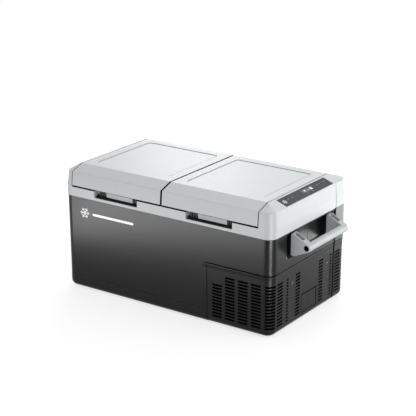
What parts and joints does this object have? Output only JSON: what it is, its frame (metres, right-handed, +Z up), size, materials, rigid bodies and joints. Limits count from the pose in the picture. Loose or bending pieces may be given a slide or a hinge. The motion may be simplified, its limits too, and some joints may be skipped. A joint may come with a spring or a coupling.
{
  "type": "compressor cooler fridge",
  "caption": "Dual-zone compressor cooler chest with hinged lids, sprung latches, carrying handles, louvred machine bay and a sloping control panel.",
  "frame": {"origin": "centre of the footprint on the floor", "axes": "+X towards the control panel end, -Y the long front face, +Z up"},
  "size_m": [0.9484, 0.468, 0.4251],
  "materials": {
    "light_plastic": "satin",
    "dark_plastic": "satin",
    "black_plastic": "matte",
    "handle_plastic": "satin",
    "liner_plastic": "satin",
    "panel_film": "satin",
    "foam": "matte",
    "rubber": "matte",
    "steel": "satin",
    "black_steel": "satin",
    "aluminium": "satin",
    "copper": "satin",
    "circuit_board": "satin",
    "smoked_glass": "gloss",
    "led_lens": "gloss",
    "basket_wire": "satin"
  },
  "bodies": {
    "cabinet": {"ac_inlet": "black_plastic", "base_tray": "dark_plastic", "bay_partition": "steel", "compressor": "black_steel", "compressor_plate": "steel", "condenser": "aluminium", "control_board": "circuit_board", "control_housing": "black_plastic", "dc_inlet": "black_plastic", "discharge_pipe": "copper", "display_window": "smoked_glass", "evaporator_left": "aluminium", "evaporator_right": "aluminium", "fan_frame": "black_plastic", "fault_led": "led_lens", "foam_insulation": "foam", "foot_strip_left": "rubber", "foot_strip_right": "rubber", "handle_backplate_left": "steel", "handle_backplate_right": "steel", "handle_left": "handle_plastic", "handle_right": "handle_plastic", "hinge_pin_left": "steel", "hinge_pin_right": "steel", "inner_liner_left": "liner_plastic", "inner_liner_right": "liner_plastic", "interior_light_left": "led_lens", "interior_light_right": "led_lens", "liquid_line": "copper", "outer_shell": "dark_plastic", "panel_overlay": "panel_film", "power_board": "circuit_board", "power_led": "led_lens", "socket_panel": "dark_plastic", "suction_pipe": "copper", "top_frame": "light_plastic", "vent_cover": "dark_plastic", "vent_screw_front": "black_steel", "vent_screw_rear": "black_steel"},
    "lid_left": {"lid_cover_left": "light_plastic", "lid_liner_left": "liner_plastic", "lid_foam_left": "foam", "lid_gasket_left": "rubber"},
    "lid_right": {"lid_cover_right": "light_plastic", "lid_liner_right": "liner_plastic", "lid_foam_right": "foam", "lid_gasket_right": "rubber"},
    "fan_rotor": {"fan_rotor": "black_plastic"},
    "basket_left": {"basket_left": "basket_wire"},
    "basket_right": {"basket_right": "basket_wire"},
    "latch_front_left": {"latch_lever_front_left": "handle_plastic"},
    "latch_rear_left": {"latch_lever_rear_left": "handle_plastic"},
    "latch_front_right": {"latch_lever_front_right": "handle_plastic"},
    "latch_rear_right": {"latch_lever_rear_right": "handle_plastic"},
    "button_power": {"button_power": "panel_film"},
    "button_set": {"button_set": "panel_film"},
    "button_minus": {"button_minus": "panel_film"},
    "button_plus": {"button_plus": "panel_film"},
    "ac_flap": {"ac_flap": "dark_plastic"},
    "dc_flap": {"dc_flap": "dark_plastic"}
  },
  "joints": [
    {"name": "lid_left_hinge", "type": "hinge", "parent": "cabinet", "child": "lid_left", "pos_m": [-0.1921, 0.2318, 0.3585], "axis": [-1, 0, 0], "range_deg": [0, 85]},
    {"name": "latch_front_left_pivot", "type": "hinge", "parent": "lid_left", "child": "latch_front_left", "pos_m": [-0.1921, -0.2255, 0.355], "axis": [-1, 0, 0], "range_deg": [0, 30], "stiffness_Nm_per_rad": 0.25},
    {"name": "latch_rear_left_pivot", "type": "hinge", "parent": "lid_left", "child": "latch_rear_left", "pos_m": [-0.1921, 0.2255, 0.355], "axis": [1, 0, 0], "range_deg": [0, 30], "stiffness_Nm_per_rad": 0.25},
    {"name": "lid_right_hinge", "type": "hinge", "parent": "cabinet", "child": "lid_right", "pos_m": [0.1747, 0.2318, 0.3585], "axis": [-1, 0, 0], "range_deg": [0, 85]},
    {"name": "latch_front_right_pivot", "type": "hinge", "parent": "lid_right", "child": "latch_front_right", "pos_m": [0.1747, -0.2255, 0.355], "axis": [-1, 0, 0], "range_deg": [0, 30], "stiffness_Nm_per_rad": 0.25},
    {"name": "latch_rear_right_pivot", "type": "hinge", "parent": "lid_right", "child": "latch_rear_right", "pos_m": [0.1747, 0.2255, 0.355], "axis": [1, 0, 0], "range_deg": [0, 30], "stiffness_Nm_per_rad": 0.25},
    {"name": "button_power_press", "type": "slide", "parent": "cabinet", "child": "button_power", "axis": [-0.3471, 0, -0.9378], "range_m": [0, 0.0005], "stiffness_N_per_m": 300},
    {"name": "button_set_press", "type": "slide", "parent": "cabinet", "child": "button_set", "axis": [-0.3471, 0, -0.9378], "range_m": [0, 0.0005], "stiffness_N_per_m": 300},
    {"name": "button_minus_press", "type": "slide", "parent": "cabinet", "child": "button_minus", "axis": [-0.3471, 0, -0.9378], "range_m": [0, 0.0005], "stiffness_N_per_m": 300},
    {"name": "button_plus_press", "type": "slide", "parent": "cabinet", "child": "button_plus", "axis": [-0.3471, 0, -0.9378], "range_m": [0, 0.0005], "stiffness_N_per_m": 300},
    {"name": "ac_flap_swing", "type": "hinge", "parent": "cabinet", "child": "ac_flap", "pos_m": [0.401, -0.0217, 0.0855], "axis": [0, -1, 0], "range_deg": [0, 100], "stiffness_Nm_per_rad": 0.01},
    {"name": "dc_flap_swing", "type": "hinge", "parent": "cabinet", "child": "dc_flap", "pos_m": [0.401, 0.0217, 0.0855], "axis": [0, -1, 0], "range_deg": [0, 100], "stiffness_Nm_per_rad": 0.01},
    {"name": "basket_left_lift", "type": "slide", "parent": "cabinet", "child": "basket_left", "axis": [0, 0, 1], "range_m": [0, 0.028]},
    {"name": "basket_right_lift", "type": "slide", "parent": "cabinet", "child": "basket_right", "axis": [0, 0, 1], "range_m": [0, 0.028]},
    {"name": "fan_spin", "type": "hinge", "parent": "cabinet", "child": "fan_rotor", "pos_m": [0.326, -0.075, 0.119], "axis": [1, 0, 0], "continuous": true}
  ]
}
